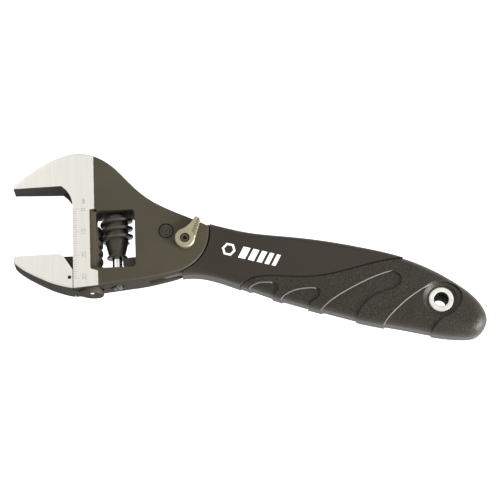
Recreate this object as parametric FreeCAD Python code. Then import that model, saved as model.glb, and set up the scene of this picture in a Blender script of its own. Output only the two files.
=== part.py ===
import FreeCAD, Part
import math
import os
from FreeCAD import Vector as V

os.makedirs("parts", exist_ok=True)

# ---------------------------------------------------------------- driving dimensions (mm)
# Working frame: pivot-pin centre on the axis, +Y is the jaw slide axis (closing), +X towards the handle,
# +Z out of the marked face. The whole wrench is moved at the end so its origin is the bottom centre of its box.
HEAD_HALF = 7.2          # half thickness of the head round the worm window
TIP_HALF = 5.0           # half thickness at the jaw tips
REAR_HALF = 6.2          # half thickness at the rear of the head
TAPER_FROM_X = -37.0     # polished jaw faces taper from here to the tips
TIP_X = -63.4
REAR_FROM_X = -12.0
SEAM_R = 18.0            # round rear end of the head, centred on the pivot
SEAM_GAP = 0.4
CLAMP_Y = 21.35          # fixed jaw clamping face
THROAT_X = -38.7
JAW_FACE_Y = -8.1        # movable jaw clamping face, as drawn (open)
JAW_TRAVEL = 29.3        # movable jaw, open to closed
SLIDER_X = -32.2
SLIDER_R = 5.65
SLIDER_CLEAR = 0.07
BORE_WALL_R = 6.6        # outside of the slider bore where it shows beside the window
SLIDER_END_Y = -24.9
WEB_HALF = 3.4
WEB_TOP_Y = -8.5         # top of the thin web between jaw and slider
WIN_X0, WIN_X1 = -29.0, -12.9
WIN_Y0, WIN_Y1 = -15.0, 9.8
WORM_X = -20.8
WORM_R = 6.8
WORM_ROOT_R = 4.9
WORM_PITCH = 3.5
WORM_Y0, WORM_Y1 = -2.4, 8.3
WORM_CREST_Y = 2.7       # a crest, on the front of the worm
CONE_END_Y = -8.5
CONE_END_R = 3.55
PIN_R = 2.1              # worm pin
SLEEVE_R = 2.75          # worm sleeve, outside
PIVOT_R = 2.9
TONGUE_HALF = 2.45
SLOT_HALF = 2.6
SWING_DEG = 10.0
HANDLE_DEG = -16.5       # handle axis, from +X
LEVER = V(7.7, -3.86, 0)
LEVER_TIP = V(13.44, 4.87, 0)
SHAFT_R = 2.0
EYE_X = 117.1            # hang hole, along the handle axis from the pivot
EYE_Y = -0.6
EYE_HOLE_R = 2.9
EYE_TUBE_R = 5.15
EYE_TUBE_HALF = 6.7
GRIP_HALF = 8.3          # half thickness of the grip at its fullest
GRIP_ROUND = 5.6         # radius of the grip's long edges


# ---------------------------------------------------------------- helpers
def spline(pts, z=0.0):
    c = Part.BSplineCurve()
    c.interpolate([V(x, y, z) for x, y in pts])
    return c.toShape()


def poly(pts, z=0.0):
    v = [V(x, y, z) for x, y in pts]
    return [Part.makeLine(a, b) for a, b in zip(v, v[1:])]


def prism(edges, z0, z1):
    w = Part.Wire(Part.__sortEdges__(edges))
    f = Part.Face(w)
    f.translate(V(0, 0, z0 - w.BoundBox.ZMin))
    return f.extrude(V(0, 0, z1 - z0))


def pprism(pts, z0, z1):
    return prism(poly(list(pts) + [pts[0]]), z0, z1)


def cyl_y(x, z, r, y0, y1):
    return Part.makeCylinder(r, y1 - y0, V(x, y0, z), V(0, 1, 0))


def cyl_z(x, y, r, z0, z1):
    return Part.makeCylinder(r, z1 - z0, V(x, y, z0), V(0, 0, 1))


def rot(shape, deg, centre=V(0, 0, 0), axis=V(0, 0, 1)):
    s = shape.copy()
    s.rotate(centre, axis, deg)
    return s


def solid(shape):
    s = shape.removeSplitter() if hasattr(shape, "removeSplitter") else shape
    sol = sorted(s.Solids, key=lambda q: -q.Volume)
    return sol[0]


def fillet_some(shape, radius, pick):
    edges = [e for e in shape.Edges if pick(e)]
    if not edges:
        print("no edges for fillet", radius)
        return shape
    for r in (radius, radius * 0.8, radius * 0.6, radius * 0.4):
        try:
            out = shape.makeFillet(r, edges)
            if out.isValid() and out.Volume > 0 and len(out.Solids) == 1:
                return out
        except Exception:
            pass
    print("fillet failed", radius, len(edges))
    good = shape
    return good


def chamfer_some(shape, size, pick):
    edges = [e for e in shape.Edges if pick(e)]
    for r in (size, size * 0.6, size * 0.35):
        try:
            out = shape.makeChamfer(r, edges)
            if out.isValid() and len(out.Solids) == 1:
                return out
        except Exception:
            pass
    print("chamfer failed", size, len(edges))
    return shape


def coil(r, wire_r, pitch, height, z0=0.0):
    h = Part.makeHelix(pitch, height, r)
    prof = Part.Wire([Part.makeCircle(wire_r, V(r, 0, 0), V(0, 1, 0))])
    s = Part.Wire(h.Edges).makePipeShell([prof], True, True)
    s.translate(V(0, 0, z0))
    return s


def wedge(x0, x1, h0, h1, y0=-60, y1=60, big=12.0):
    # the pair of slanted cutters that leave half thickness h0 at x0 and h1 at x1
    out = []
    for sgn in (1, -1):
        pts = [V(x0, y0, sgn * h0), V(x1, y0, sgn * h1), V(x1, y0, sgn * big), V(x0, y0, sgn * big), V(x0, y0, sgn * h0)]
        f = Part.Face(Part.makePolygon(pts))
        out.append(f.extrude(V(0, y1 - y0, 0)))
    return out


def faces_of_taper(shape):
    s = shape
    slope = (HEAD_HALF - TIP_HALF) / (TAPER_FROM_X - TIP_X)
    for c in wedge(TAPER_FROM_X, -75.0, HEAD_HALF, HEAD_HALF - slope * (TAPER_FROM_X + 75.0)):
        s = s.cut(c)
    slope = (HEAD_HALF - REAR_HALF) / (18.0 - REAR_FROM_X)
    for c in wedge(REAR_FROM_X, 30.0, HEAD_HALF, HEAD_HALF - slope * (30.0 - REAR_FROM_X)):
        s = s.cut(c)
    return s


# ---------------------------------------------------------------- head forging
a_top = math.radians(5.5)
a_bot = math.radians(-68.5)
seam_top = (SEAM_R * math.cos(a_top), SEAM_R * math.sin(a_top))
seam_bot = (SEAM_R * math.cos(a_bot), SEAM_R * math.sin(a_bot))
top_curve = [(-62.6, 23.3), (-59.6, 25.6), (-56.2, 27.7), (-52.85, 29.8), (-49.5, 31.65), (-46.1, 33.2), (-42.75, 34.35),
             (-39.4, 35.1), (-36.0, 35.35), (-32.7, 35.0), (-29.4, 34.0), (-25.6, 32.1), (-21.0, 28.5), (-16.1, 23.2),
             (-11.2, 18.0), (-6.3, 13.95), (-1.4, 11.0), (3.5, 8.55), (8.5, 6.3), (13.0, 4.25), seam_top]
head_edges = [spline(top_curve)]
am = 0.5 * (a_top + a_bot)
head_edges.append(Part.Arc(V(*seam_top, 0), V(SEAM_R * math.cos(am), SEAM_R * math.sin(am), 0), V(*seam_bot, 0)).toShape())
head_edges.append(spline([seam_bot, (1.1, -18.35), (-3.0, -19.2), (-7.2, -20.0), (-15.4, -21.0), (-23.7, -21.9), (-28.3, -22.45)]))
head_edges += poly([(-28.3, -22.45), (THROAT_X, -23.35), (THROAT_X, 14.0)])
# the throat sweeps into the fixed jaw face
head_edges.append(Part.Arc(V(THROAT_X, 14.0, 0), V(-39.9, 17.6, 0), V(-41.6, 19.9, 0)).toShape())
head_edges += poly([(-41.6, 19.9), (-43.2, CLAMP_Y), (-63.3, CLAMP_Y), (-63.3, 22.2), (-62.6, 23.3)])
head = prism(head_edges, -HEAD_HALF, HEAD_HALF)
head = faces_of_taper(head)

# rim of the broad faces is eased, except at the clamping face, the throat and the seam


def head_rim(e):
    b = e.BoundBox
    if abs(b.Center.z) < 4.6 or b.ZLength > 2.4:
        return False
    if b.ZMin * b.ZMax < 0:
        return False
    mid = e.valueAt(0.5 * (e.FirstParameter + e.LastParameter))
    if abs(math.hypot(mid.x, mid.y) - SEAM_R) < 0.05:
        return False
    if b.YMax < CLAMP_Y + 0.2 and mid.x < THROAT_X + 0.2:
        return False
    if b.XLength < 0.3 and b.YLength < 3:
        return False
    if b.XLength < 1e-4 and b.YLength > 3:      # lines where the tapers start
        return False
    return True


head = fillet_some(head, 0.9, head_rim)

# slider bore, jaw web slot
head = head.cut(cyl_y(SLIDER_X, 0, SLIDER_R + SLIDER_CLEAR, -40, 50))
slot_top = WEB_TOP_Y + JAW_TRAVEL + 0.3
head = head.cut(Part.makeBox(11.0, slot_top + 40, 2 * (WEB_HALF + 0.2), V(THROAT_X - 7.0, -40, -WEB_HALF - 0.2)))

# worm window, corners rounded, rim eased on both faces
win = Part.makeBox(WIN_X1 - WIN_X0, WIN_Y1 - WIN_Y0, 40, V(WIN_X0, WIN_Y0, -20))
win = fillet_some(win, 1.4, lambda e: e.BoundBox.ZLength > 39)
head = head.cut(win)
for sgn in (1, -1):
    # the wall of the slider bore stands free beside the window as a rounded landing
    c = Part.makeBox(WIN_X0 + 0.4 + 31.6, WIN_Y1 - WIN_Y0 + 0.4, 12.0, V(-31.6, WIN_Y0 + 0.2, 0 if sgn > 0 else -12.0))
    c = fillet_some(c, 0.9, lambda e: e.BoundBox.ZLength > 11 and e.BoundBox.XMax < -31.5)
    head = head.cut(c.cut(rot(cyl_y(SLIDER_X, 0, BORE_WALL_R, -40, 40), 17, V(SLIDER_X, 0, 0), V(0, 1, 0))))

# groove round the seam that takes the rib of the handle cover, so no light passes the joint
head = head.cut(cyl_z(0, 0, 30.0, -1.6, 1.6).cut(cyl_z(0, 0, SEAM_R - 0.75, -3, 3)).common(Part.makeBox(30, 60, 10, V(5.0, -30, -5))))

# worm pin hole, counterbored from below
head = head.cut(cyl_y(WORM_X, 0, PIN_R + 0.02, -40, 14.3))
head = head.cut(cyl_y(WORM_X, 0, 2.75, -40, -20.6))

# pivot and selector holes
head = head.cut(cyl_z(0, 0, PIVOT_R + 0.02, -20, 20))
head = head.cut(cyl_z(LEVER.x, LEVER.y, SHAFT_R + 0.06, -20, 20))
head = head.cut(cyl_z(LEVER.x, LEVER.y, 3.6, -20, -6.3))      # seat of the retaining ring
# broad shallow countersinks that leave a thin ring round the pivot pin
for sgn in (1, -1):
    head = head.cut(Part.makeCylinder(PIVOT_R + 0.34, 2.0, V(0, 0, sgn * 6.0), V(0, 0, sgn)))
ldir = (LEVER_TIP - LEVER)
ldir.normalize()
DET = LEVER + ldir * 3.0
head = head.cut(cyl_z(DET.x, DET.y, 1.06, 3.3, 20))

# tongue of the handle, in the working frame, and the slot it swings in
tongue_pts = [(-18.3, -9.75), (-18.3, -12.6), (-17.6, -13.3), (-12.6, -13.4), (-9.4, -15.2), (-7.4, -17.3), (-0.6, -18.2), (6.6, -16.75), (8.4, -16.9), (22.0, -17.0),
              (22.0, -6.0), (18.4, -4.4), (3.4, 5.0), (1.2, 6.6), (-2.5, 6.4), (-6.0, 3.4), (-7.2, -0.6), (-8.2, -6.0), (-12.4, -9.5)]
tongue_wire = Part.makePolygon([V(x, y, 0) for x, y in tongue_pts + [tongue_pts[0]]])
big_wire = tongue_wire.makeOffset2D(0.3)
big = Part.Face(big_wire)
big.translate(V(0, 0, -SLOT_HALF))
big = big.extrude(V(0, 0, 2 * SLOT_HALF))
swept = None
for k in range(0, 17):
    q = rot(big, -0.4 + (SWING_DEG + 0.8) * k / 16.0)
    swept = q if swept is None else swept.fuse(q)
# the slot is open along the lower edge of the head behind the worm
swept = swept.fuse(pprism([(-7.5, -15.0), (-7.5, -30), (30, -30), (30, -10.0), (5, -10)], -SLOT_HALF, SLOT_HALF))
keep_front = Part.makeBox(200, 200, 40, V(-18.62, -100, -20))
head = head.cut(swept.common(keep_front))
head = solid(head)

# ---------------------------------------------------------------- movable jaw
jaw_edges = poly([(-39.0, -14.6), (-42.3, -9.5), (-44.3, JAW_FACE_Y), (-63.2, JAW_FACE_Y), (-63.5, -8.6), (-63.4, -10.8), (-62.9, -11.6)])
jaw_edges.append(spline([(-62.9, -11.6), (-60.7, -13.55), (-56.8, -16.15), (-52.4, -18.55), (-48.3, -20.55), (-44.2, -22.05), (-41.4, -22.85), (-39.0, -23.35)]))
jaw_edges += poly([(-39.0, -23.35), (-39.0, -14.6)])
jaw = prism(jaw_edges, -HEAD_HALF, HEAD_HALF)
jaw = faces_of_taper(jaw)


def jaw_rim(e):
    b = e.BoundBox
    if abs(b.Center.z) < 4.6 or b.ZMin * b.ZMax < 0:
        return False
    mid = e.valueAt(0.5 * (e.FirstParameter + e.LastParameter))
    return mid.y < -11.65 and b.XLength > 3


jaw = fillet_some(jaw, 0.9, jaw_rim)
# cylinder slider, its upper end ground to the top line of the head as it stands when the jaw is closed
slider = cyl_y(SLIDER_X, 0, SLIDER_R, SLIDER_END_Y - 0.3, 12.0)
foot = [(-42.0, -22.65), (-39.0, -23.35), (-35.5, -24.1), (-32.0, -24.6), (-29.0, -24.95), (-25.5, -25.2)]
slider = slider.cut(prism([spline(foot)] + poly([foot[-1], (-25.5, -30), (-42, -30), foot[0]]), -12, 12))
slider = fillet_some(slider, 0.6, lambda e: e.BoundBox.YMax < -22.9 and e.BoundBox.XLength > 5)
dy = -JAW_TRAVEL - 0.35
slider = slider.cut(pprism([(-45.0, 35.6 + dy), (-37.9, 35.45 + dy), (-35.5, 35.4 + dy), (-32.6, 35.05 + dy), (-29.4, 34.1 + dy), (-26.4, 32.6 + dy), (-20, 28.0 + dy), (-20, 40), (-45, 40)], -10, 10))
# rack, cut on the lead angle of the worm
tan_lead = WORM_PITCH / (2 * math.pi * 6.2)
left_crest = WORM_CREST_Y - WORM_PITCH / 4.0
k = -8
while k < 4:
    yc = left_crest + k * WORM_PITCH
    k += 1
    if yc < SLIDER_END_Y + 1.9 or yc > 6.0:
        continue
    y_at = yc - tan_lead * 8.0
    pts = [V(-28.25, y_at - 0.62, -8), V(-28.25, y_at + 0.62, -8), V(-26.2, y_at + 1.32, -8), V(-25.0, y_at + 1.6, -8), V(-25.0, y_at - 1.6, -8), V(-26.2, y_at - 1.32, -8)]
    f = Part.Face(Part.makePolygon(pts + [pts[0]]))
    slider = slider.cut(f.extrude(V(0, tan_lead * 16.0, 16)))
web = pprism([(-44.2, WEB_TOP_Y), (-35.4, WEB_TOP_Y), (-35.4, -24.3), (-39.3, -23.35), (-44.2, -20.0)], -WEB_HALF, WEB_HALF)
jaw = jaw.fuse(web).fuse(slider)
# index dimple, and the seat of the stop pin in the slider end
for sgn in (1,):
    jaw = jaw.cut(cyl_z(-40.3, -18.5, 0.55, 6.2, 9))
    jaw = jaw.cut(Part.makeCone(0.0, 0.75, 0.75, V(-40.3, -18.5, 6.35)))
jaw = jaw.cut(cyl_y(-31.2, 2.9, 0.92, -26, SLIDER_END_Y + 5.0))
jaw = jaw.cut(cyl_y(-31.2, 2.9, 1.25, -26, SLIDER_END_Y + 0.75))
jaw = solid(jaw)
stop_pin = cyl_y(-31.2, 2.9, 0.9, SLIDER_END_Y + 0.05, SLIDER_END_Y + 4.8)
stop_pin = chamfer_some(stop_pin, 0.25, lambda e: e.BoundBox.YLength < 0.01)

# ---------------------------------------------------------------- adjusting worm
# thread swept about +Z, then laid along +Y
turns_h = 21.0
helix = Part.makeHelix(WORM_PITCH, turns_h, 5.8)
hw_root, hw_tip = 1.15, 0.5
prof = Part.makePolygon([V(4.6, 0, -hw_root - 0.1), V(WORM_R - 0.15, 0, -hw_tip - 0.06), V(WORM_R, 0, -hw_tip + 0.14), V(WORM_R, 0, hw_tip - 0.14), V(WORM_R - 0.15, 0, hw_tip + 0.06), V(4.6, 0, hw_root + 0.1), V(4.6, 0, -hw_root - 0.1)])
thread = Part.Wire(helix.Edges).makePipeShell([prof], True, True)
# about +Z: the crest at angle 0 (+X) is at 0, P, 2P...; turning +Z to +Y takes +X to +X, so the crest on +X is known
wl = WORM_Y1 - WORM_Y0
# in the wrench the crest on the +X side stands a quarter pitch above the one on the front
right_crest = WORM_CREST_Y + WORM_PITCH / 4.0
start = right_crest - WORM_PITCH * math.ceil((right_crest - WORM_Y0 + 4.0) / WORM_PITCH)
thread.translate(V(0, 0, start))
for slab in (Part.makeBox(40, 40, 30, V(-20, -20, WORM_Y1)), Part.makeBox(40, 40, 30, V(-20, -20, WORM_Y0 - 30))):
    thread = thread.cut(slab)
# every round part is turned a little so that no two seams fall together
core = rot(Part.makeCylinder(WORM_ROOT_R, wl, V(0, 0, WORM_Y0)), 37)
worm = core.fuse(thread)
for zz, d, turn in ((WORM_Y1, -1, 71), (WORM_Y0, 1, 71)):
    ringcut = Part.makeCylinder(9, 1.2, V(0, 0, zz), V(0, 0, d)).cut(Part.makeCone(5.8, 7.0, 1.2, V(0, 0, zz), V(0, 0, d)))
    worm = worm.cut(rot(ringcut, turn))
cone = rot(Part.makeCone(WORM_ROOT_R - 0.05, CONE_END_R, WORM_Y0 - CONE_END_Y - 0.7, V(0, 0, WORM_Y0), V(0, 0, -1)), 133)
neck = Part.makeCylinder(CONE_END_R, 0.75, V(0, 0, CONE_END_Y), V(0, 0, 1))
worm = worm.fuse(rot(cone.fuse(neck), 20))
worm = worm.fuse(rot(Part.makeCylinder(3.75, 0.9, V(0, 0, WORM_Y1 - 0.02)), 50))
worm = worm.cut(rot(Part.makeCylinder(SLEEVE_R + 0.05, 40, V(0, 0, -20)), 200))
worm = worm.cut(rot(Part.makeCylinder(3.45, 20, V(0, 0, WORM_Y1 - 4.6)), 150))


def lay_y(s):
    # turn a part built along +Z at the origin so that it lies along +Y on the worm axis; +X stays +X
    t = s.copy()
    t.rotate(V(0, 0, 0), V(1, 0, 0), -90)
    t.translate(V(WORM_X, 0, 0))
    return t


worm = solid(lay_y(worm))
sleeve = Part.makeCylinder(SLEEVE_R, (WORM_Y1 - 4.7) - (CONE_END_Y - 0.1), V(0, 0, CONE_END_Y - 0.1)).cut(Part.makeCylinder(PIN_R + 0.05, 40, V(0, 0, -20)))
sleeve = lay_y(sleeve)
washer = Part.makeCylinder(4.3, 0.75, V(0, 0, CONE_END_Y - 0.9)).cut(Part.makeCylinder(PIN_R + 0.1, 40, V(0, 0, -20)))
washer = chamfer_some(washer, 0.15, lambda e: e.BoundBox.ZLength < 0.01 and e.BoundBox.XLength > 8)
washer = lay_y(washer)
worm_spring = lay_y(coil(2.85, 0.36, 1.2, 4.8, WORM_Y1 - 4.5 + 0.4))
worm_pin = cyl_y(WORM_X, 0, PIN_R, -22.5, 14.1)
worm_pin = chamfer_some(worm_pin, 0.4, lambda e: e.BoundBox.YLength < 0.01)
worm_pin = worm_pin.cut(Part.makeBox(0.9, 1.0, 8.0, V(WORM_X - 0.45, -22.6, -4.0)))

# ---------------------------------------------------------------- pivot pin, selector
pz = 6.75
pivot_pin = cyl_z(0, 0, PIVOT_R, -pz, pz)
pivot_pin = chamfer_some(pivot_pin, 0.25, lambda e: e.BoundBox.ZLength < 0.01)
for sgn in (1, -1):
    # peened ends: a ring and a centre punch
    pivot_pin = pivot_pin.cut(Part.makeCone(0.0, 0.9, 0.45, V(0, 0, sgn * (pz - 0.45)), V(0, 0, sgn)))
    pivot_pin = pivot_pin.cut(Part.makeCylinder(2.0, 0.3, V(0, 0, sgn * (pz - 0.18)), V(0, 0, sgn)).cut(Part.makeCylinder(1.6, 0.6, V(0, 0, sgn * (pz - 0.4)), V(0, 0, sgn))))

LZ0, LZ1 = 6.85, 9.0
tip_half, boss_r = 1.25, 4.15
ln = (LEVER_TIP - LEVER).Length
# teardrop outline along +X, later turned to its direction
a0 = math.radians(62)
p1 = (boss_r * math.cos(a0), boss_r * math.sin(a0))
lev = [Part.Arc(V(p1[0], -p1[1], 0), V(-boss_r, 0, 0), V(p1[0], p1[1], 0)).toShape(),
       spline([p1, (4.0, 2.3), (6.2, 1.55), (ln - 0.4, tip_half)])]
lev += poly([(ln - 0.4, tip_half), (ln, tip_half - 0.4), (ln, -tip_half + 0.2), (ln - 0.3, -tip_half - 0.1), (p1[0], -p1[1])])
lever = prism(lev, LZ0, LZ1)
lever = chamfer_some(lever, 0.3, lambda e: e.BoundBox.ZMin > LZ1 - 0.01)
flank = (p1[1] - tip_half - 0.1) / (ln - 0.3 - p1[0])
for k in range(6):
    # thumb serrations across one flank
    gx = 3.3 + 1.12 * k
    gy = -p1[1] + flank * (gx - p1[0])
    lever = lever.cut(Part.makeCylinder(0.42, 2.9 - 0.16 * k, V(gx, gy - 0.4, LZ1 - 0.02), V(0.30, 1.0, 0)))
lever = lever.cut(Part.makeCylinder(2.05, 1.4, V(0, 0, LZ1 - 0.95)))
lever = lever.cut(Part.makeBox(2.9, 2.9, 4.0, V(-1.45, -1.45, LZ0 - 1)).fuse(Part.makeCylinder(1.1, 6, V(0, 0, LZ0 - 1))))
lever = lever.cut(Part.makeSphere(1.0, V(3.0, 0, 6.05)).fuse(Part.makeCylinder(1.02, 1.0, V(3.0, 0, 6.1))))
ang = math.degrees(math.atan2(ldir.y, ldir.x))
lever = rot(lever, ang)
lever.translate(LEVER)
lever = solid(lever)

shaft = Part.makeCylinder(SHAFT_R, 6.8 + 7.0, V(0, 0, -7.0))
shaft = shaft.cut(Part.makeBox(6, 3, 4.6, V(-3, 1.0, -2.3)))       # relieved flat inside the slot
sq = Part.makeBox(2.8, 2.8, 1.2, V(-1.4, -1.4, 6.75))
sq = sq.common(Part.makeCylinder(1.9, 2, V(0, 0, 6.5)))
shaft = shaft.fuse(sq)
shaft = shaft.cut(Part.makeCylinder(0.95, 5.0, V(0, 0, 3.4)))
ring_groove = Part.makeCylinder(3, 0.5, V(0, 0, -6.8)).cut(Part.makeCylinder(1.6, 0.5, V(0, 0, -6.8)))
shaft = shaft.cut(ring_groove)
shaft = rot(shaft, ang)
shaft.translate(LEVER)
shaft = solid(shaft)

ring = Part.makeCylinder(3.4, 0.44, V(0, 0, -6.77)).cut(Part.makeCylinder(1.65, 2, V(0, 0, -8)))
ring = ring.cut(Part.makeBox(6, 1.9, 2, V(0, -0.95, -8)))
ring.translate(LEVER)
ring = solid(ring)

screw = Part.makeCylinder(1.75, 0.6, V(0, 0, 8.06))
screw = fillet_some(screw, 0.25, lambda e: e.BoundBox.ZMin > 8.6)
hexa = Part.makePolygon([V(0.85 * math.cos(math.radians(60 * i)), 0.85 * math.sin(math.radians(60 * i)), 8.25) for i in range(7)])
screw = screw.cut(Part.Face(hexa).extrude(V(0, 0, 2)))
screw = screw.fuse(Part.makeCylinder(0.9, 8.2 - 3.7, V(0, 0, 3.7)))
screw.translate(LEVER)
screw = solid(screw)

ball = Part.makeSphere(0.95, V(DET.x, DET.y, 5.87))
det_spring = coil(0.66, 0.18, 0.5, 1.3, 3.55)
det_spring.translate(V(DET.x, DET.y, 0))

# ---------------------------------------------------------------- handle, built along +X then turned to its angle
# outline of the handle, upper edge from the seam to the end and back along the lower edge
h_top = [(10.0, 9.2), (17.0, 8.45), (22.0, 8.3), (27.0, 8.25), (32.0, 8.35), (38.0, 8.9), (50.0, 10.7), (65.0, 12.65), (80.0, 13.7), (92.0, 14.0),
         (103.0, 13.2), (113.4, 11.15), (122.5, 8.3), (130.0, 4.9), (135.0, 0.9), (137.4, -3.6), (136.8, -7.8), (134.2, -11.2),
         (129.5, -13.1), (120.7, -14.6), (105.6, -15.5), (90.6, -16.5), (75.0, -16.45), (62.0, -16.3), (50.0, -15.7), (39.0, -14.7), (31.0, -13.95),
         (23.5, -13.6), (18.5, -13.95), (13.6, -15.1), (11.2, -16.0)]


def inset_points(pts, inset):
    # points of the same outline moved inwards (the outline runs clockwise)
    c = spline(pts)
    n = 74
    par = [c.FirstParameter + (c.LastParameter - c.FirstParameter) * i / (n - 1.0) for i in range(n)]
    out = []
    for u in par:
        q = c.valueAt(u)
        t = c.tangentAt(u)
        out.append((q.x + t.y * inset, q.y - t.x * inset))
    return out


def outline_prism(inset, h):
    pts = h_top if inset <= 0 else inset_points(h_top, inset)
    w = Part.Wire([spline(pts)] + poly([pts[-1], pts[0]]))
    f = Part.Face(w)
    f.translate(V(0, 0, -h))
    return f.extrude(V(0, 0, 2 * h))


def crown_section(x, zc, drop, yc, half_w=24.0):
    zt = zc - drop
    a = Part.Arc(V(x, yc - half_w, zt), V(x, yc, zc), V(x, yc + half_w, zt)).toShape()
    b = Part.Arc(V(x, yc + half_w, -zt), V(x, yc, -zc), V(x, yc - half_w, -zt)).toShape()
    l1 = Part.makeLine(V(x, yc + half_w, zt), V(x, yc + half_w, -zt))
    l2 = Part.makeLine(V(x, yc - half_w, -zt), V(x, yc - half_w, zt))
    return Part.Wire([a, l1, b, l2])


def crown_body(inset):
    secs = []
    for x, zc, drop in ((5.0, 6.25, 0.35), (17.0, 6.3, 0.4), (26.0, 6.85, 0.9), (38.0, 7.6, 2.0), (60.0, 8.15, 3.4), (85.0, GRIP_HALF, 3.8), (110.0, 8.15, 3.2), (127.0, 7.7, 2.8), (142.0, 7.0, 2.6)):
        secs.append(crown_section(x, zc - inset, drop, -1.5))
    return Part.makeLoft(secs, True, False)


def handle_body(inset):
    return outline_prism(inset, 20.0).common(crown_body(inset))


def rim_edges(e):
    b = e.BoundBox
    if b.ZMin * b.ZMax < 0 or b.XLength < 3.0:
        return False
    return b.XMax > 20


raw = handle_body(0.0)
body = fillet_some(raw, 3.4, rim_edges)             # hard cover
body_g = fillet_some(raw, GRIP_ROUND, rim_edges)    # soft grip, rounder
inner = fillet_some(handle_body(0.55), 2.9, rim_edges)
inner_g = fillet_some(handle_body(0.55), GRIP_ROUND - 0.5, rim_edges)

# front end of the cover is hollowed to the round rear of the head
front = cyl_z(0, 0, SEAM_R + SEAM_GAP, 1.3, 30).fuse(cyl_z(0, 0, SEAM_R + SEAM_GAP, -30, -1.3)).fuse(cyl_z(0, 0, SEAM_R - 0.5, -1.3, 1.3))
body = body.cut(front)
body = body.cut(Part.makeBox(30, 40, 40, V(-20, -20, -20)).cut(cyl_z(0, 0, 19.9, -30, 30)).common(Part.makeBox(29, 40, 40, V(-20, -20, -20))))

# boundary between the hard cover and the soft grip
bound = [(33.2, -20.0), (34.38, -16.32), (36.33, -13.48), (40.16, -10.70), (45.67, -8.60), (54.36, -6.75), (64.96, -3.95), (73.33, -0.11), (82.93, 5.43), (92.49, 10.70), (97.5, 13.2), (104.0, 17.0)]
bline = spline(bound)


def band(off):
    pts = bline.discretize(60)
    out = []
    for i, p in enumerate(pts):
        a = pts[max(0, i - 1)]
        b = pts[min(len(pts) - 1, i + 1)]
        t = b - a
        t.normalize()
        out.append((p.x - t.y * off, p.y + t.x * off))
    return out


region = prism([spline(bound)] + poly([bound[-1], (160.0, 17.0), (160.0, -30.0), (33.2, -30.0), bound[0]]), -30, 30)
gl, gr = band(0.32), band(-0.32)
groove = prism([spline(gl[::3] + [gl[-1]]), spline(gr[::3] + [gr[-1]])] + poly([gl[0], gr[0]]) + poly([gl[-1], gr[-1]]), -30, 30)
grip = body_g.common(region).cut(groove.cut(inner_g))
cover = body.cut(region).cut(groove.cut(inner))

# finger hollows on both broad sides of the grip


def leaf_prism(pts):
    return prism([spline(pts), Part.makeLine(V(pts[-1][0], pts[-1][1], 0), V(pts[0][0], pts[0][1], 0))], 0, 30)


LEAF1 = [(37.4, -20.0), (37.8, -17.3), (39.4, -14.7), (42.6, -12.5), (46.1, -11.5), (50.1, -11.1), (51.2, -12.6), (49.6, -15.4), (48.4, -20.0)]
LEAF2 = [(51.6, -20.0), (52.1, -17.8), (54.2, -14.8), (58.8, -11.5), (64.1, -9.5), (68.2, -9.5), (68.4, -11.6), (66.2, -14.2), (64.7, -16.6), (63.8, -20.0)]
LEAF3 = [(68.0, -20.5), (70.8, -15.8), (74.2, -11.6), (78.6, -7.0), (83.0, -2.9), (88.1, 1.4), (92.5, 4.5), (95.4, 5.9), (97.9, 5.4), (99.4, 3.7), (99.4, 1.2), (97.9, -0.9), (93.4, -3.8), (89.8, -6.9), (87.4, -10.1), (86.0, -13.5), (84.9, -20.5)]
LEAF4 = [(95.5, -20.5), (97.4, -14.8), (100.1, -9.9), (103.5, -4.7), (107.0, -0.4), (110.6, 3.1), (114.2, 5.7), (118.3, 7.2), (122.6, 6.2), (125.2, 2.8), (125.2, -1.4), (123.8, -4.0), (121.7, -6.3), (118.9, -9.6), (117.3, -12.5), (116.2, -15.8), (115.6, -20.5)]
hollow = None
for L in (LEAF1, LEAF2, LEAF3, LEAF4):
    p = leaf_prism(L)
    p = p.fuse(p.mirror(V(0, 0, 0), V(0, 0, 1)))
    hollow = p if hollow is None else hollow.fuse(p)
hollow = hollow.cut(inner_g)
grip = grip.cut(hollow)

# dished seat round the hang hole, and the tube in it
for sgn in (1, -1):
    dish = Part.makeCone(5.6, 9.3, 2.6, V(EYE_X, EYE_Y, sgn * 6.2), V(0, 0, sgn))
    grip = grip.cut(dish)
grip = grip.cut(cyl_z(EYE_X, EYE_Y, EYE_TUBE_R + 0.01, -30, 30))
bush = cyl_z(EYE_X, EYE_Y, EYE_TUBE_R, -EYE_TUBE_HALF, EYE_TUBE_HALF)
bush = fillet_some(bush, 0.5, lambda e: e.BoundBox.ZLength < 0.01)
bush = bush.cut(cyl_z(EYE_X, EYE_Y, EYE_HOLE_R, -20, 20))
bush = chamfer_some(bush, 0.35, lambda e: e.BoundBox.ZLength < 0.01 and e.BoundBox.XLength < 2 * EYE_HOLE_R + 0.1)

# steel core: tongue plus the bar that runs inside the cover and grip
core_bar = pprism([(17.0, 5.4), (40, 5.4), (70, 6.4), (104, 6.0), (107, 3.0), (107, -5.0), (104, -8.0), (70, -9.5), (40, -9.0), (17.0, -9.6)], -TONGUE_HALF, TONGUE_HALF)
core_bar = rot(core_bar, HANDLE_DEG).cut(cyl_z(0, 0, SEAM_R + 0.3, -20, 20))
tongue = Part.Face(tongue_wire)
tongue.translate(V(0, 0, -TONGUE_HALF))
tongue = tongue.extrude(V(0, 0, 2 * TONGUE_HALF))
# inside the cover only
tongue_in = tongue.cut(Part.makeBox(60, 60, 40, V(0, -30, -20)).cut(cyl_z(0, 0, 21.5, -20, 20)))
hc = tongue_in.fuse(core_bar)
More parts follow.
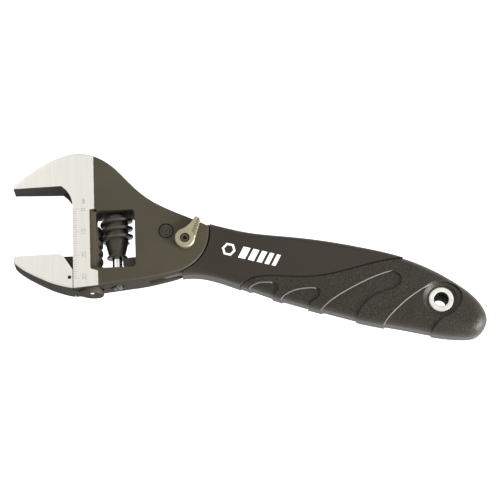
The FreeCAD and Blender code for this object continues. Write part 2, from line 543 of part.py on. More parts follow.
# keep the part outside the seam within the handle outline
shell_limit = rot(handle_body(1.6), HANDLE_DEG).fuse(cyl_z(0, 0, SEAM_R + 0.2, -20, 20)).fuse(Part.makeBox(24, 40, 40, V(-24, -30, -20)))
hc = hc.common(shell_limit)
hc = hc.cut(cyl_z(0, 0, PIVOT_R + 0.05, -20, 20))
for k in range(0, 6):
    q = cyl_z(LEVER.x, LEVER.y, SHAFT_R + 0.3, -20, 20)
    hc = hc.cut(rot(q, 0.4 - (SWING_DEG + 0.8) * k / 5.0))
hc = hc.cut(cyl_z(0, 0, 5.3, 0.9, 20))
hc = solid(hc)
ret_spring = coil(4.1, 0.36, 0.8, 0.7, 1.35)
cover = rot(cover, HANDLE_DEG)
grip = rot(grip, HANDLE_DEG)
bush = rot(bush, HANDLE_DEG)
cover = cover.cut(hc)
grip = grip.cut(hc)
cover = solid(cover)
grip = solid(grip)

nodes = {
    "head_forging": head,
    "movable_jaw": jaw,
    "jaw_stop_pin": stop_pin,
    "adjusting_worm": worm,
    "worm_sleeve": sleeve,
    "thrust_washer": washer,
    "worm_spring": worm_spring,
    "worm_pin": worm_pin,
    "pivot_pin": pivot_pin,
    "handle_core": hc,
    "handle_cover": cover,
    "grip_overmold": grip,
    "hang_hole_bushing": bush,
    "return_spring": ret_spring,
    "selector_lever": lever,
    "selector_shaft": shaft,
    "selector_screw": screw,
    "selector_retaining_ring": ring,
    "detent_ball": ball,
    "detent_spring": det_spring,
}
box = None
for n, s in nodes.items():
    b = s.optimalBoundingBox(False, False)
    box = FreeCAD.BoundBox(b) if box is None else box.united(b)
shift = V(-0.5 * (box.XMin + box.XMax), -0.5 * (box.YMin + box.YMax), -box.ZMin)
print("shift", shift, "box", box)
for n, s in nodes.items():
    t = s.copy()
    t.translate(shift)
    if t.ShapeType != "Solid":
        t = t.Solids[0]
    print(n, t.isValid(), len(t.Solids), len(s.Solids), round(t.Volume, 1))
    t.exportStep("parts/" + n + ".step")
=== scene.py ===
import math

import bpy
import bmesh
from mathutils import Matrix, Vector


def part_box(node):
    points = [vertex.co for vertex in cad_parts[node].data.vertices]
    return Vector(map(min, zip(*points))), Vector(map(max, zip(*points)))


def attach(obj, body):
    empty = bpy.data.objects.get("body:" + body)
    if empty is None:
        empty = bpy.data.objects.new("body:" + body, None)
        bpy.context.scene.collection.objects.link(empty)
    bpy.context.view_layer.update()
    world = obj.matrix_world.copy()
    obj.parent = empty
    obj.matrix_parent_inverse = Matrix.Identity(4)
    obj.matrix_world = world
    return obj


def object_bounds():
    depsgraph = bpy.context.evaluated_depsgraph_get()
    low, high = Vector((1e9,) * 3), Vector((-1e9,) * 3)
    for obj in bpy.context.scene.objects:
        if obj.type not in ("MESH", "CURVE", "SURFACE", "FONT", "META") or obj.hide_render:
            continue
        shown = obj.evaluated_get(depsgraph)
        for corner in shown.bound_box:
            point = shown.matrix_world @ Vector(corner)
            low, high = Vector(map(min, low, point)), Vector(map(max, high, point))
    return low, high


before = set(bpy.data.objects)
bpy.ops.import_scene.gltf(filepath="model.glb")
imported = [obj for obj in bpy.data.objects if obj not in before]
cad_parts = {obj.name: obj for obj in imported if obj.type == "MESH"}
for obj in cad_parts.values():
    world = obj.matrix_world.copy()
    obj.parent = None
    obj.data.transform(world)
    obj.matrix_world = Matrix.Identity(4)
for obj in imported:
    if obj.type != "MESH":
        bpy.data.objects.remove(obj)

lo0, hi0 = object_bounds()

# ---------------------------------------------------------------- where the working frame of the tool sits (m)
# pivot-pin axis of the head in the row frame; X' towards the handle, Y' the jaw slide axis
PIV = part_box("pivot_pin")
OX = 0.5 * (PIV[0].x + PIV[1].x)
OY = 0.5 * (PIV[0].y + PIV[1].y)
OZ = 0.5 * (PIV[0].z + PIV[1].z)
MM = 0.001
HANDLE = math.radians(-16.5)


def H(x, y, z=0.0):
    return Vector((OX + x * MM, OY + y * MM, OZ + z * MM))


def HP(x, y, z=0.0):
    # a point given along the handle (x) and across it (y)
    c, s = math.cos(HANDLE), math.sin(HANDLE)
    return H(x * c - y * s, x * s + y * c, z)


# ---------------------------------------------------------------- node helpers
class NT:
    def __init__(self, mat):
        mat.use_nodes = True
        self.t = mat.node_tree
        self.n = self.t.nodes
        self.l = self.t.links
        self.n.clear()
        self.out = self.n.new("ShaderNodeOutputMaterial")
        self.bsdf = self.n.new("ShaderNodeBsdfPrincipled")
        self.l.new(self.bsdf.outputs[0], self.out.inputs[0])
        self.tc = self.n.new("ShaderNodeTexCoord")

    def link(self, a, b):
        self.l.new(a, b)

    def mapping(self, scale=(1, 1, 1), loc=(0, 0, 0), rot=(0, 0, 0)):
        m = self.n.new("ShaderNodeMapping")
        m.inputs["Scale"].default_value = scale
        m.inputs["Location"].default_value = loc
        m.inputs["Rotation"].default_value = rot
        self.link(self.tc.outputs["Object"], m.inputs["Vector"])
        return m.outputs[0]

    def noise(self, vec, scale, detail=3.0, rough=0.55):
        m = self.n.new("ShaderNodeTexNoise")
        m.inputs["Scale"].default_value = scale
        m.inputs["Detail"].default_value = detail
        m.inputs["Roughness"].default_value = rough
        self.link(vec, m.inputs["Vector"])
        return m.outputs["Fac"]

    def voronoi(self, vec, scale, feature="F1"):
        m = self.n.new("ShaderNodeTexVoronoi")
        m.feature = feature
        m.inputs["Scale"].default_value = scale
        self.link(vec, m.inputs["Vector"])
        return m.outputs["Distance"]

    def ramp(self, fac, stops):
        m = self.n.new("ShaderNodeValToRGB")
        cr = m.color_ramp
        while len(cr.elements) < len(stops):
            cr.elements.new(0.5)
        for e, (p, c) in zip(cr.elements, stops):
            e.position = p
            e.color = (c[0], c[1], c[2], 1.0) if hasattr(c, "__len__") else (c, c, c, 1.0)
        self.link(fac, m.inputs["Fac"])
        return m.outputs["Color"]

    def maprange(self, v, a, b, c, d, smooth=False):
        m = self.n.new("ShaderNodeMapRange")
        if smooth:
            m.interpolation_type = "SMOOTHSTEP"
        m.inputs["From Min"].default_value = a
        m.inputs["From Max"].default_value = b
        m.inputs["To Min"].default_value = c
        m.inputs["To Max"].default_value = d
        self.link(v, m.inputs["Value"])
        return m.outputs["Result"]

    def math(self, op, a, b=None, clamp=False):
        m = self.n.new("ShaderNodeMath")
        m.operation = op
        m.use_clamp = clamp
        for i, v in enumerate((a, b)):
            if v is None:
                continue
            if isinstance(v, (int, float)):
                m.inputs[i].default_value = v
            else:
                self.link(v, m.inputs[i])
        return m.outputs[0]

    def mix(self, fac, a, b):
        m = self.n.new("ShaderNodeMix")
        m.data_type = "RGBA"
        m.clamp_factor = True
        self.link(fac, m.inputs["Factor"])
        for key, v in (("A", a), ("B", b)):
            sock = [s for s in m.inputs if s.name == key and s.type == "RGBA"][0]
            if hasattr(v, "__len__"):
                sock.default_value = (v[0], v[1], v[2], 1.0)
            else:
                self.link(v, sock)
        return [s for s in m.outputs if s.type == "RGBA"][0]

    def mixf(self, fac, a, b):
        m = self.n.new("ShaderNodeMix")
        m.data_type = "FLOAT"
        m.clamp_factor = True
        self.link(fac, m.inputs["Factor"])
        for key, v in (("A", a), ("B", b)):
            sock = [s for s in m.inputs if s.name == key and s.type == "VALUE"][0]
            if isinstance(v, (int, float)):
                sock.default_value = v
            else:
                self.link(v, sock)
        return [s for s in m.outputs if s.type == "VALUE"][0]

    def bump(self, height, strength, dist, normal=None):
        m = self.n.new("ShaderNodeBump")
        m.inputs["Strength"].default_value = strength
        m.inputs["Distance"].default_value = dist
        self.link(height, m.inputs["Height"])
        if normal is not None:
            self.link(normal, m.inputs["Normal"])
        return m.outputs[0]

    def sep(self):
        m = self.n.new("ShaderNodeSeparateXYZ")
        self.link(self.tc.outputs["Object"], m.inputs[0])
        return m.outputs[0], m.outputs[1], m.outputs[2]

    def normal_z(self):
        g = self.n.new("ShaderNodeNewGeometry")
        m = self.n.new("ShaderNodeSeparateXYZ")
        self.link(g.outputs["Normal"], m.inputs[0])
        return self.math("ABSOLUTE", m.outputs[2])


def new_mat(name):
    m = bpy.data.materials.new(name)
    return m, NT(m)


# measured tones (linear)
STEEL = (0.775, 0.755, 0.690)
PAINT = (0.050, 0.043, 0.025)
PAINT_D = (0.038, 0.032, 0.018)
COVER = (0.024, 0.0185, 0.0125)
GRIP = (0.0150, 0.0118, 0.0070)


def metal_part(nt, streak_dir="y"):
    # ground steel: long fine streaks, a broad soft variation, and small scuffs
    sc = (1.0, 0.035, 1.0) if streak_dir == "y" else (0.035, 1.0, 1.0)
    v = nt.mapping(scale=sc)
    fine = nt.noise(v, 5200.0, 3.0, 0.6)
    mid = nt.noise(v, 900.0, 2.0, 0.5)
    wide = nt.noise(nt.mapping(), 60.0, 2.0, 0.5)
    return fine, mid, wide


def painted_head(name, polished_mask_builder):
    m, nt = new_mat(name)
    mask = polished_mask_builder(nt)
    fine, mid, wide = metal_part(nt)
    steel = nt.mix(nt.maprange(mid, 0.35, 0.65, 0.0, 1.0), (STEEL[0] * 0.98, STEEL[1] * 0.98, STEEL[2] * 0.98), (STEEL[0] * 1.03, STEEL[1] * 1.03, STEEL[2] * 1.03))
    orange = nt.noise(nt.mapping(), 1500.0, 2.0, 0.5)
    speck = nt.noise(nt.mapping(), 3800.0, 2.0, 0.6)
    cloud = nt.noise(nt.mapping(), 40.0, 2.0, 0.5)
    paint = nt.mix(nt.maprange(cloud, 0.3, 0.7, 0.0, 1.0), PAINT, PAINT_D)
    paint = nt.mix(nt.maprange(speck, 0.42, 0.72, 0.0, 0.25), paint, (0.085, 0.078, 0.062))
    # the walls between the broad faces are painted darker and rougher than the faces' paint: painted shade on walls
    # that turn away from the light
    flat = nt.maprange(nt.normal_z(), 0.25, 0.85, 0.0, 1.0)
    paint = nt.mix(flat, (0.014, 0.0115, 0.0070), paint)
    nt.bsdf.inputs["Specular IOR Level"].default_value = 0.24
    nt.link(nt.mix(mask, paint, steel), nt.bsdf.inputs["Base Color"])
    nt.link(nt.mixf(mask, 0.0, 0.96), nt.bsdf.inputs["Metallic"])
    rough_s = nt.maprange(fine, 0.3, 0.7, 0.34, 0.42)
    rough_p = nt.maprange(speck, 0.3, 0.7, 0.44, 0.58)
    rough_p = nt.mixf(flat, 0.85, rough_p)
    nt.link(nt.mixf(mask, rough_p, rough_s), nt.bsdf.inputs["Roughness"])
    h = nt.mixf(mask, nt.math("MULTIPLY", orange, 0.9), nt.math("MULTIPLY", fine, 0.6))
    nt.link(nt.bump(h, 0.22, 0.00004), nt.bsdf.inputs["Normal"])
    return m


def head_mask(nt):
    # the ground area of the head: broad faces left of a stepped line
    x, y, z = nt.sep()
    xm = nt.math("MULTIPLY", nt.math("SUBTRACT", x, OX), 1000.0)
    ym = nt.math("MULTIPLY", nt.math("SUBTRACT", y, OY), 1000.0)
    zm = nt.math("ABSOLUTE", nt.math("MULTIPLY", nt.math("SUBTRACT", z, OZ), 1000.0))
    s1 = nt.maprange(ym, 10.35, 10.75, -2.0, 0.0, True)
    s2 = nt.maprange(ym, -16.4, -14.9, 1.1, -2.0, True)
    low = nt.math("LESS_THAN", ym, -5.0)
    part = nt.mixf(low, s1, s2)
    edge = nt.math("ADD", part, -29.6)
    w = nt.math("MULTIPLY", nt.math("SUBTRACT", nt.noise(nt.mapping(), 700.0, 2.0, 0.5), 0.5), 0.25)
    d = nt.math("ADD", nt.math("SUBTRACT", edge, xm), w)
    inside = nt.maprange(d, -0.05, 0.05, 0.0, 1.0)
    nz = nt.maprange(nt.normal_z(), 0.62, 0.74, 0.0, 1.0)
    far = nt.maprange(zm, 4.3, 4.4, 0.0, 1.0)
    return nt.math("MULTIPLY", nt.math("MULTIPLY", inside, nz), far)


def jaw_mask(nt):
    # the broad faces of the jaw are ground; the dark floor of the index dimple is not
    x, y, z = nt.sep()
    xm = nt.math("MULTIPLY", nt.math("SUBTRACT", x, OX), 1000.0)
    ym = nt.math("MULTIPLY", nt.math("SUBTRACT", y, OY), 1000.0)
    dx = nt.math("POWER", nt.math("SUBTRACT", xm, -40.3), 2.0)
    dy = nt.math("POWER", nt.math("SUBTRACT", ym, -18.5), 2.0)
    clear = nt.math("GREATER_THAN", nt.math("ADD", dx, dy), 0.60)
    zm = nt.math("ABSOLUTE", nt.math("MULTIPLY", nt.math("SUBTRACT", z, OZ), 1000.0))
    inside = nt.math("MULTIPLY", nt.math("LESS_THAN", xm, -38.9), clear)
    nz = nt.maprange(nt.normal_z(), 0.62, 0.74, 0.0, 1.0)
    far = nt.maprange(zm, 4.3, 4.4, 0.0, 1.0)
    return nt.math("MULTIPLY", nt.math("MULTIPLY", inside, nz), far)


def simple_metal(name, base, rough, metallic=1.0, streak=None, var=0.12, bump=0.12, coat=0.0):
    m, nt = new_mat(name)
    sc = {"x": (0.05, 1, 1), "y": (1, 0.05, 1), "z": (1, 1, 0.05), None: (1, 1, 1)}[streak]
    v = nt.mapping(scale=sc)
    n1 = nt.noise(v, 3000.0, 3.0, 0.6)
    n2 = nt.noise(nt.mapping(), 350.0, 2.0, 0.5)
    dark = tuple(c * (1 - var) for c in base)
    lite = tuple(min(1.0, c * (1 + var)) for c in base)
    nt.link(nt.mix(nt.maprange(n2, 0.3, 0.7, 0.0, 1.0), dark, lite), nt.bsdf.inputs["Base Color"])
    nt.link(nt.maprange(n1, 0.3, 0.7, rough * 0.85, min(1.0, rough * 1.2)), nt.bsdf.inputs["Roughness"])
    nt.bsdf.inputs["Metallic"].default_value = metallic
    nt.bsdf.inputs["Coat Weight"].default_value = coat
    nt.link(nt.bump(n1, bump, 0.00003), nt.bsdf.inputs["Normal"])
    return m


def plastic(name, base, lite, rough, grain_scale, grain_depth, speck=0.25):
    m, nt = new_mat(name)
    v = nt.mapping()
    vor = nt.voronoi(v, grain_scale)
    n1 = nt.noise(v, grain_scale * 1.7, 3.0, 0.65)
    n2 = nt.noise(v, 45.0, 2.0, 0.5)
    h = nt.math("ADD", nt.math("MULTIPLY", vor, 0.7), nt.math("MULTIPLY", n1, 0.6))
    b = nt.mix(nt.maprange(n1, 0.45, 0.75, 0.0, speck), base, lite)
    b = nt.mix(nt.maprange(n2, 0.3, 0.7, 0.0, 0.35), b, tuple(c * 0.72 for c in base))
    nt.link(b, nt.bsdf.inputs["Base Color"])
    nt.link(nt.maprange(n1, 0.3, 0.7, rough * 0.92, min(1.0, rough * 1.1)), nt.bsdf.inputs["Roughness"])
    nt.link(nt.bump(h, 0.5, grain_depth), nt.bsdf.inputs["Normal"])
    nt.bsdf.inputs["Specular IOR Level"].default_value = 0.27
    return m


def painted_shade_inside(name, base, shade_colour, centre, radius, rough, metallic, top_z=None):
    # light satin outside; within a given radius of an axis along Z the colour is painted near-black, as painted shade
    # inside a bore, recess or socket
    m, nt = new_mat(name)
    x, y, z = nt.sep()
    dx = nt.math("MULTIPLY", nt.math("SUBTRACT", x, centre[0]), 1000.0)
    dy = nt.math("MULTIPLY", nt.math("SUBTRACT", y, centre[1]), 1000.0)
    d = nt.math("SQRT", nt.math("ADD", nt.math("POWER", dx, 2.0), nt.math("POWER", dy, 2.0)))
    out = nt.maprange(d, radius - 0.04, radius + 0.04, 0.0, 1.0)
    if top_z is not None:
        zz = nt.math("MULTIPLY", nt.math("SUBTRACT", z, OZ), 1000.0)
        out = nt.math("MAXIMUM", out, nt.maprange(zz, top_z, top_z + 0.1, 0.0, 1.0))
    n2 = nt.noise(nt.mapping(), 420.0, 3.0, 0.55)
    n1 = nt.noise(nt.mapping(), 3000.0, 3.0, 0.6)
    lite = nt.mix(nt.maprange(n2, 0.3, 0.7, 0.0, 1.0), tuple(c * 0.9 for c in base), tuple(min(1.0, c * 1.08) for c in base))
    nt.link(nt.mix(out, shade_colour, lite), nt.bsdf.inputs["Base Color"])
    nt.link(nt.mixf(out, 0.1, metallic), nt.bsdf.inputs["Metallic"])
    nt.link(nt.mixf(out, 0.97, nt.maprange(n1, 0.3, 0.7, rough * 0.85, min(1.0, rough * 1.2))), nt.bsdf.inputs["Roughness"])
    nt.bsdf.inputs["Specular IOR Level"].default_value = 0.30
    nt.link(nt.bump(n1, 0.3, 0.00003), nt.bsdf.inputs["Normal"])
    return m


M_HEAD = painted_head("head_paint_and_ground_face", head_mask)
M_JAW = painted_head("jaw_ground_face", jaw_mask)
M_BLACK = simple_metal("blackened_steel", (0.055, 0.051, 0.040), 0.40, metallic=0.5, var=0.2, bump=0.2)
M_PIVOT = simple_metal("pivot_black", (0.038, 0.033, 0.025), 0.42, metallic=0.25, var=0.25, bump=0.6)
M_CORE = simple_metal("core_blackened", (0.040, 0.036, 0.029), 0.46, metallic=0.4, var=0.2, bump=0.2)
M_BRIGHT = simple_metal("bright_pin", (0.74, 0.72, 0.66), 0.18, streak="y", var=0.04, bump=0.05)
def pin_metal():
    m, nt = new_mat("worm_pin_bright_shank_dull_end")
    x, y, z = nt.sep()
    ym = nt.math("MULTIPLY", nt.math("SUBTRACT", y, OY), 1000.0)
    up = nt.maprange(ym, -20.9, -20.6, 0.0, 1.0)
    n1 = nt.noise(nt.mapping(scale=(1, 0.05, 1)), 3000.0, 3.0, 0.6)
    n2 = nt.noise(nt.mapping(), 350.0, 2.0, 0.5)
    lite = nt.mix(nt.maprange(n2, 0.3, 0.7, 0.0, 1.0), (0.71, 0.69, 0.63), (0.77, 0.75, 0.69))
    nt.link(nt.mix(up, (0.055, 0.050, 0.040), lite), nt.bsdf.inputs["Base Color"])
    nt.link(nt.mixf(up, 0.4, 1.0), nt.bsdf.inputs["Metallic"])
    nt.link(nt.mixf(up, 0.5, nt.maprange(n1, 0.3, 0.7, 0.15, 0.22)), nt.bsdf.inputs["Roughness"])
    nt.link(nt.bump(n1, 0.05, 0.00003), nt.bsdf.inputs["Normal"])
    return m


M_PIN = pin_metal()
M_STEEL = simple_metal("core_steel", (0.55, 0.53, 0.50), 0.42, streak="x", var=0.1, bump=0.15)
M_SPRING = simple_metal("spring_wire", (0.42, 0.41, 0.39), 0.32, var=0.1, bump=0.08)
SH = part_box("selector_shaft")
SHC = (0.5 * (SH[0].x + SH[1].x), 0.5 * (SH[0].y + SH[1].y))
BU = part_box("hang_hole_bushing")
BUC = (0.5 * (BU[0].x + BU[1].x), 0.5 * (BU[0].y + BU[1].y))
# painted shade: the lever's recess round the screw, the bushing's bore and the screw's socket are painted near-black
# inside the given radius
M_LEVER = painted_shade_inside("lever_satin_nickel", (0.345, 0.320, 0.215), (0.020, 0.017, 0.013), SHC, 2.02, 0.42, 0.8)
M_BUSH = painted_shade_inside("bushing_light_satin", (0.56, 0.55, 0.50), (0.006, 0.0045, 0.003), BUC, 3.12, 0.45, 0.3)
M_SCREW = painted_shade_inside("screw_bronzed", (0.085, 0.066, 0.050), (0.010, 0.009, 0.008), SHC, 0.84, 0.34, 0.7)
M_COVER = plastic("cover_smooth_black", COVER, (0.046, 0.040, 0.030), 0.50, 2600.0, 0.00003, 0.25)
M_GRIP = plastic("grip_grained_black", GRIP, (0.110, 0.102, 0.085), 0.47, 1150.0, 0.00018, 0.46)

use = {
    "head_forging": M_HEAD, "movable_jaw": M_JAW, "jaw_stop_pin": M_BRIGHT, "adjusting_worm": M_BLACK,
    "worm_sleeve": M_STEEL, "thrust_washer": M_BLACK, "worm_spring": M_SPRING, "worm_pin": M_PIN,
    "pivot_pin": M_PIVOT, "handle_core": M_CORE, "handle_cover": M_COVER, "grip_overmold": M_GRIP,
    "hang_hole_bushing": M_BUSH, "return_spring": M_SPRING, "selector_lever": M_LEVER, "selector_shaft": M_STEEL,
    "selector_screw": M_SCREW, "selector_retaining_ring": M_SPRING, "detent_ball": M_BRIGHT, "detent_spring": M_SPRING,
}
for n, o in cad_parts.items():
    o.data.materials.clear()
    o.data.materials.append(use[n])

# ---------------------------------------------------------------- the scale and marks


def mesh_obj(name, verts, faces, mat, body):
    me = bpy.data.meshes.new(name)
    me.from_pydata([tuple(v) for v in verts], [], faces)
    me.update()
    o = bpy.data.objects.new(name, me)
    bpy.context.scene.collection.objects.link(o)
    o.data.materials.append(mat)
    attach(o, body)
    return o


def flat_strip(polys, z0, thick, mapper):
    # polys: list of closed loops in local mm; each becomes a thin solid with its top at z0 + thick
    V, F = [], []
    for loop in polys:
        n = len(loop)
        base = len(V)
        for x, y in loop:
            V.append(mapper(x, y, z0 + thick))
        for x, y in loop:
            V.append(mapper(x, y, z0))
        F.append(tuple(range(base, base + n)))
        F.append(tuple(reversed(range(base + n, base + 2 * n))))
        for i in range(n):
            j = (i + 1) % n
            F.append((base + j, base + i, base + n + i, base + n + j))
    return V, F


def stroke(pts, w):
    # a polyline of width w as quads joined by small squares
    out = []
    for (x0, y0), (x1, y1) in zip(pts, pts[1:]):
        d = math.hypot(x1 - x0, y1 - y0)
        tx, ty = (x1 - x0) / d, (y1 - y0) / d
        ex, ey = tx * w * 0.5, ty * w * 0.5
        nx, ny = -ty * w * 0.5, tx * w * 0.5
        out.append([(x0 - ex - nx, y0 - ey - ny), (x1 + ex - nx, y1 + ey - ny), (x1 + ex + nx, y1 + ey + ny), (x0 - ex + nx, y0 - ey + ny)])
    return out


M_MARK, nt = new_mat("etched_mark")
n1 = nt.noise(nt.mapping(), 1500.0, 3.0, 0.6)
nt.link(nt.mix(nt.maprange(n1, 0.3, 0.7, 0.0, 1.0), (0.30, 0.29, 0.265), (0.40, 0.39, 0.36)), nt.bsdf.inputs["Base Color"])
nt.link(nt.maprange(n1, 0.3, 0.7, 0.45, 0.6), nt.bsdf.inputs["Roughness"])
nt.bsdf.inputs["Metallic"].default_value = 0.2
M_WHITE, nt = new_mat("white_print")
n1 = nt.noise(nt.mapping(), 2500.0, 3.0, 0.6)
nt.link(nt.mix(nt.maprange(n1, 0.3, 0.7, 0.0, 1.0), (0.88, 0.88, 0.87), (0.95, 0.95, 0.94)), nt.bsdf.inputs["Base Color"])
nt.link(nt.maprange(n1, 0.3, 0.7, 0.40, 0.52), nt.bsdf.inputs["Roughness"])

DIG = {
    "0": [[(0.15, 0), (0.85, 0), (1, 0.25), (1, 1.35), (0.85, 1.6), (0.15, 1.6), (0, 1.35), (0, 0.25), (0.15, 0)]],
    "1": [[(0.1, 1.25), (0.5, 1.6), (0.5, 0)]],
    "2": [[(0, 1.3), (0.2, 1.6), (0.8, 1.6), (1, 1.35), (1, 1.0), (0, 0), (1.05, 0)]],
    "3": [[(0, 1.6), (1, 1.6), (0.45, 0.95), (0.9, 0.8), (1, 0.4), (0.8, 0), (0.2, 0), (0, 0.2)]],
    "m": [[(0, 0), (0, 1.1)], [(0, 0.9), (0.25, 1.1), (0.45, 0.9), (0.45, 0)], [(0.45, 0.9), (0.75, 1.1), (0.95, 0.9), (0.95, 0)]],
}
FACE_Z = 7.2


def scale_loops():
    out = []
    y0 = 10.8
    for i in range(0, 31):
        y = y0 - i
        w = 2.3 if i % 10 == 0 else (1.7 if i % 5 == 0 else 1.1)
        out += stroke([(-38.3, y), (-38.3 + w, y)], 0.14)

    def word(text, yc, xbase, k=0.95):
        # text reads upwards along +Y', its baseline towards the handle
        wtot = len(text) * 1.45 * k - 0.45 * k
        loops = []
        for a, ch in enumerate(text):
            for line in DIG[ch]:
                pts = [(xbase - v * k, yc - wtot / 2 + (a * 1.45 + u) * k) for u, v in line]
                loops.extend(stroke(pts, 0.17))
        return loops
    out += word("0", 10.5, -33.4)
    out += word("10", 0.85, -33.4)
    out += word("20", -9.15, -33.4)
    out += word("30", -18.6, -33.4)
    out += word("mm", 14.2, -33.4, 0.8)
    return out


V_, F_ = flat_strip(scale_loops(), FACE_Z - 0.01, 0.018, lambda x, y, z: H(x, y, z))
mesh_obj("scale_marks", V_, F_, M_MARK, "head")

# a plain white emblem printed on the cover: a nut outline and slanted bars, lying on the crowned surface
from mathutils.bvhtree import BVHTree

bpy.context.view_layer.update()
cover_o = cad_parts["handle_cover"]
cover_tree = BVHTree.FromObject(cover_o, bpy.context.evaluated_depsgraph_get())
cover_inv = cover_o.matrix_world.inverted()


def on_cover(x, y, lift):
    p = HP(x, y, 30.0)
    hit = cover_tree.ray_cast(cover_inv @ p, (cover_inv.to_3x3() @ Vector((0, 0, -1))).normalized(), 0.06)
    z = (cover_o.matrix_world @ hit[0]).z if hit[0] is not None else H(0, 0, 7.0).z
    return Vector((p.x, p.y, z + lift * MM))


def fine_loop(loop, step=0.7):
    out = []
    for (x0, y0), (x1, y1) in zip(loop, loop[1:] + loop[:1]):
        n = max(1, int(math.ceil(math.hypot(x1 - x0, y1 - y0) / step)))
        for i in range(n):
            out.append((x0 + (x1 - x0) * i / n, y0 + (y1 - y0) * i / n))
    return out


def emblem():
    V, F = [], []

    def ribbon(a, b):
        # a strip between two matching rows of points, as a closed thin solid
        n = len(a)
        base = len(V)
        for lift in (0.025, -0.02):
            for row in (a, b):
                for x, y in row:
                    V.append(on_cover(x, y, lift))
        A, B, C, D = base, base + n, base + 2 * n, base + 3 * n
        for i in range(n - 1):
            F.append((A + i, B + i, B + i + 1, A + i + 1))
            F.append((C + i, C + i + 1, D + i + 1, D + i))
            F.append((A + i, A + i + 1, C + i + 1, C + i))
            F.append((B + i, D + i, D + i + 1, B + i + 1))
        F.append((A, C, D, B))
        F.append((A + n - 1, B + n - 1, D + n - 1, C + n - 1))

    def line(p, q, n=8):
        return [(p[0] + (q[0] - p[0]) * i / (n - 1.0), p[1] + (q[1] - p[1]) * i / (n - 1.0)) for i in range(n)]

    cx, cy = MARK_X, MARK_Y
    for k in range(6):
        a0, a1 = math.radians(60 * k), math.radians(60 * (k + 1))
        ro, ri = 2.95, 1.95
        ribbon(line((cx + ri * math.cos(a0), cy + ri * math.sin(a0)), (cx + ri * math.cos(a1), cy + ri * math.sin(a1)), 5),
               line((cx + ro * math.cos(a0), cy + ro * math.sin(a0)), (cx + ro * math.cos(a1), cy + ro * math.sin(a1)), 5))
    x = cx + 4.6
    for wdt in (3.0, 2.6, 2.2, 1.9, 1.6):
        sh = 1.1
        ribbon(line((x, cy - 2.55), (x + sh, cy + 2.55)), line((x + wdt, cy - 2.55), (x + wdt + sh, cy + 2.55)))
        x += wdt + 1.15
    return V, F


MARK_X, MARK_Y = 27.2, -1.4
V_, F_ = emblem()
mesh_obj("plain_emblem", V_, F_, M_WHITE, "handle")

# the raised rims of the finger hollows: slim beads that run along the upper edge of each one, on both sides; their
# light grey colour is a painted highlight along each rim
M_RIM = plastic("grip_rim_painted_highlight", (0.150, 0.142, 0.128), (0.23, 0.22, 0.20), 0.46, 1500.0, 0.00004, 0.5)
grip_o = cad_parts["grip_overmold"]
grip_tree = BVHTree.FromObject(grip_o, bpy.context.evaluated_depsgraph_get())
grip_inv = grip_o.matrix_world.inverted()


def on_grip(x, y, side):
    p = HP(x, y, 30.0 * side)
    hit = grip_tree.ray_cast(grip_inv @ p, (grip_inv.to_3x3() @ Vector((0, 0, -side))).normalized(), 0.06)
    if hit[0] is None:
        return None, None
    return grip_o.matrix_world @ hit[0], (grip_o.matrix_world.to_3x3() @ hit[1]).normalized()


def smooth_path(pts, n):
    # Catmull-Rom through the points
    P_ = [pts[0]] + list(pts) + [pts[-1]]
    out = []
    segs = len(pts) - 1
    for i in range(n):
        t = i * segs / (n - 1.0)
        k = min(segs - 1, int(t))
        f = t - k
        p0, p1, p2, p3 = P_[k], P_[k + 1], P_[k + 2], P_[k + 3]
        q = []
        for c in (0, 1):
            q.append(0.5 * (2 * p1[c] + (p2[c] - p0[c]) * f + (2 * p0[c] - 5 * p1[c] + 4 * p2[c] - p3[c]) * f * f + (3 * p1[c] - p0[c] - 3 * p2[c] + p3[c]) * f ** 3))
        out.append(tuple(q))
    return out


def bead(name, pts, r, side, n=70, ring=8):
    # a tapering half-sunk bead that follows the surface just outside the hollow's edge
    path = smooth_path(pts, n)
    rows = []
    for i, (x, y) in enumerate(path):
        a, b = path[max(0, i - 1)], path[min(n - 1, i + 1)]
        d = math.hypot(b[0] - a[0], b[1] - a[1]) or 1.0
        nx, ny = -(b[1] - a[1]) / d, (b[0] - a[0]) / d
        q, nrm = on_grip(x + nx * 0.22, y + ny * 0.22, side)
        if q is None or abs(nrm.z) < 0.08:
            continue
        rows.append((q, nrm, i / (n - 1.0)))
    V, F = [], []
    m_ = len(rows)
    for k, (q, nrm, f) in enumerate(rows):
        a, b = rows[max(0, k - 1)][0], rows[min(m_ - 1, k + 1)][0]
        t = (b - a).normalized()
        sidev = t.cross(nrm).normalized()
        up_ = sidev.cross(t).normalized()
        if up_.dot(nrm) < 0:
            up_ = -up_
        rr = r * MM * (0.25 + 0.75 * min(1.0, 8.0 * min(f, 1.0 - f) + 0.05))
        for j in range(ring):
            w_ = 2 * math.pi * j / ring
            v_ = q + (sidev * math.cos(w_) + up_ * math.sin(w_)) * rr - nrm * rr * 0.35
            v_.z = min(max(v_.z, lo0[2] + 0.00002), hi0[2] - 0.00002)
            V.append(v_)
    for k in range(m_ - 1):
        for j in range(ring):
            j2 = (j + 1) % ring
            F.append((k * ring + j, k * ring + j2, (k + 1) * ring + j2, (k + 1) * ring + j))
    F.append(tuple(reversed(range(ring))))
    F.append(tuple(range((m_ - 1) * ring, m_ * ring)))
    o = mesh_obj(name, V, F, M_RIM, "handle")
    bm = bmesh.new()
    bm.from_mesh(o.data)
    bmesh.ops.recalc_face_normals(bm, faces=bm.faces)
    bm.to_mesh(o.data)
    bm.free()
    for f in o.data.polygons:
        f.use_smooth = True
    return o


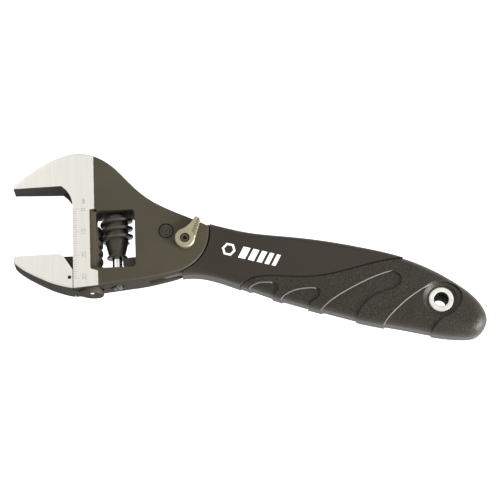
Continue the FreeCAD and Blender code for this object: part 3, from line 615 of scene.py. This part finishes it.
RIMS = [
    [(37.7, -17.8), (39.4, -14.7), (42.6, -12.5), (46.1, -11.5), (48.6, -11.1)],
    [(51.8, -18.4), (54.2, -14.8), (58.8, -11.5), (64.1, -9.5), (66.4, -9.3)],
    [(68.9, -18.6), (70.8, -15.8), (74.2, -11.6), (78.6, -7.0), (83.0, -2.9), (88.1, 1.4), (92.5, 4.5), (94.8, 5.8)],
    [(96.0, -18.6), (97.4, -14.8), (100.1, -9.9), (103.5, -4.7), (107.0, -0.4), (110.0, 2.8), (112.2, 4.4)],
]
for k, line_ in enumerate(RIMS):
    for side, tag in ((1, "front"), (-1, "back")):
        bead("grip_rim_%d_%s" % (k + 1, tag), line_, 0.30, side)

# ---------------------------------------------------------------- floor, light, camera
bpy.ops.mesh.primitive_plane_add(size=6.0, location=(0, 0, -0.09))
floor = bpy.context.object
floor.name = "floor"
M_FLOOR, nt = new_mat("floor_white")
nt.bsdf.inputs["Base Color"].default_value = (0.93, 0.93, 0.93, 1)
nt.bsdf.inputs["Roughness"].default_value = 0.9
floor.data.materials.append(M_FLOOR)

w = bpy.data.worlds.new("world")
bpy.context.scene.world = w
w.use_nodes = True
w.node_tree.nodes["Background"].inputs[0].default_value = (1, 1, 1, 1)
w.node_tree.nodes["Background"].inputs[1].default_value = 0.78


def area(name, loc, target, size, power, sy=None):
    d = bpy.data.lights.new(name, "AREA")
    d.shape = "RECTANGLE"
    d.size = size
    d.size_y = sy or size
    d.energy = power
    o = bpy.data.objects.new(name, d)
    bpy.context.scene.collection.objects.link(o)
    o.location = loc
    o.rotation_mode = "QUATERNION"
    o.rotation_quaternion = (Vector(target) - Vector(loc)).to_track_quat("-Z", "Y")
    return o


area("key", (-0.75, 0.55, 0.75), (0, 0, 0), 0.7, 2.0)
area("fill", (0.3, 0.6, 0.9), (0, 0, 0), 0.7, 1.0)
area("low_right", (1.04, -0.50, 0.35), (0.08, -0.03, 0), 0.55, 40.0)

# camera: long lens, 17 degrees off the normal of the marked face, from the lower side
D = 0.900
TH = math.radians(17.0)
TURN = math.radians(-2.2565)
PU, PV = -35.2226, 6.6817


def from_photo(u, v, w_):
    c, s = math.cos(TURN), math.sin(TURN)
    x, y = u - PU, v - PV
    return H(x * c - y * s, x * s + y * c, w_)


target = from_photo(0, 0, 0)
eye = from_photo(0, -900.0 * math.sin(TH), 900.0 * math.cos(TH))
right = (from_photo(1, 0, 0) - target).normalized()
back = (eye - target).normalized()
up = back.cross(right).normalized()
cam_d = bpy.data.cameras.new("camera")
cam_d.sensor_width = 36.0
cam_d.lens = 2160.0 * 36.0 / 502.0
cam_d.clip_start = 0.01
cam_d.clip_end = 20.0
cam = bpy.data.objects.new("camera", cam_d)
bpy.context.scene.collection.objects.link(cam)
m = Matrix((right, up, back)).transposed().to_4x4()
m.translation = eye
cam.matrix_world = m
bpy.context.scene.camera = cam
bpy.context.scene.view_settings.view_transform = "Standard"
bpy.context.scene.view_settings.look = "None"
bpy.context.scene.view_settings.exposure = 0.0
